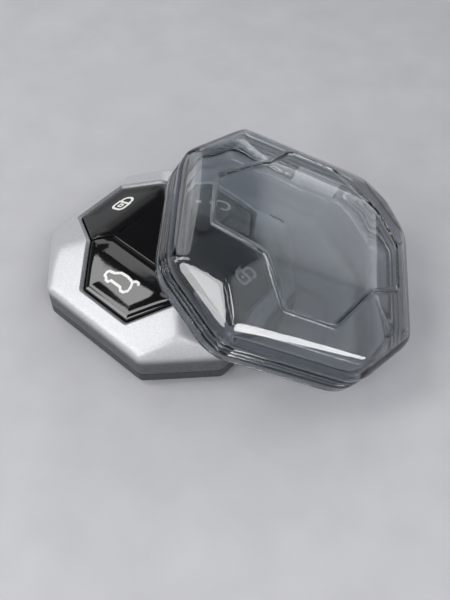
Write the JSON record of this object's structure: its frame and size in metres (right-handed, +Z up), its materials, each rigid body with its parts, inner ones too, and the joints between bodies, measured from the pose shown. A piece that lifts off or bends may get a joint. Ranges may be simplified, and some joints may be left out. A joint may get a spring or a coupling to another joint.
{
  "type": "key fob cover",
  "caption": "Smoke-clear two-part octagonal cover lying across the silver key fob it fits, with press buttons, coin-cell door and pull-out key.",
  "frame": {"origin": "centre of the fob's flat base, on the surface it lies on", "axes": "+X towards the fob's right (unlock) button, +Y towards its top (start) button and keyring tab, +Z up out of its button face"},
  "size_m": [0.0905, 0.0745, 0.0432],
  "materials": {
    "silver_paint": "satin metallic silver paint on moulded plastic",
    "dark_silver": "satin darker grey paint on moulded plastic",
    "gloss_black": "gloss black moulded plastic",
    "clear_smoke": "smoke-clear moulded plastic",
    "grey_plastic": "dark moulded plastic",
    "seal_rubber": "soft black rubber",
    "board_green": "green circuit board",
    "steel": "bare steel",
    "contact_metal": "plated spring strip",
    "ferrite": "dark ferrite block"
  },
  "bodies": {
    "fob": {"fob_front_shell": "silver_paint", "fob_back_shell": "dark_silver", "shell_gasket": "seal_rubber", "centre_plate": "gloss_black", "inner_frame": "grey_plastic", "circuit_board": "board_green", "button_carrier": "grey_plastic", "keypad_seal": "seal_rubber", "switch_unlock": "grey_plastic", "switch_lock": "grey_plastic", "switch_start": "grey_plastic", "switch_tailgate": "grey_plastic", "antenna_coil": "ferrite", "controller_chip": "grey_plastic", "coin_cell": "steel", "contact_positive": "contact_metal", "contact_negative": "contact_metal", "case_screw_1": "steel", "case_screw_2": "steel", "case_screw_3": "steel", "case_screw_4": "steel"},
    "lock_button": {"button_lock": "gloss_black"},
    "unlock_button": {"button_unlock": "gloss_black"},
    "tailgate_button": {"button_tailgate": "gloss_black"},
    "start_button": {"button_start": "gloss_black"},
    "door": {"battery_door": "dark_silver"},
    "key": {"key_blade": "steel", "key_head": "dark_silver", "key_pin": "steel"},
    "back_cover": {"cover_back": "clear_smoke"},
    "front_cover": {"cover_front": "clear_smoke"}
  },
  "joints": [
    {"name": "lock_press", "type": "slide", "parent": "fob", "child": "lock_button", "axis": [0, 0, -1], "range_m": [0, 0.0005], "stiffness_N_per_m": 800, "springref_m": -0.001},
    {"name": "unlock_press", "type": "slide", "parent": "fob", "child": "unlock_button", "axis": [0, 0, -1], "range_m": [0, 0.0005], "stiffness_N_per_m": 800, "springref_m": -0.001},
    {"name": "tailgate_press", "type": "slide", "parent": "fob", "child": "tailgate_button", "axis": [0, 0, -1], "range_m": [0, 0.0005], "stiffness_N_per_m": 800, "springref_m": -0.001},
    {"name": "start_press", "type": "slide", "parent": "fob", "child": "start_button", "axis": [0, 0, -1], "range_m": [0, 0.0005], "stiffness_N_per_m": 800, "springref_m": -0.001},
    {"name": "door_turn", "type": "hinge", "parent": "fob", "child": "door", "pos_m": [-0.0125, 0, 0], "axis": [0, 0, 1], "range_deg": [0, 90]},
    {"name": "key_pull", "type": "slide", "parent": "fob", "child": "key", "axis": [0, 1, 0], "range_m": [0, 0.045]},
    {"name": "cover_lift", "type": "slide", "parent": "fob", "child": "back_cover", "axis": [0.4396, 0.1857, 0.8788], "range_m": [0, 0.06]},
    {"name": "cover_open", "type": "slide", "parent": "back_cover", "child": "front_cover", "axis": [0.4396, 0.1857, 0.8788], "range_m": [0, 0.04]}
  ]
}
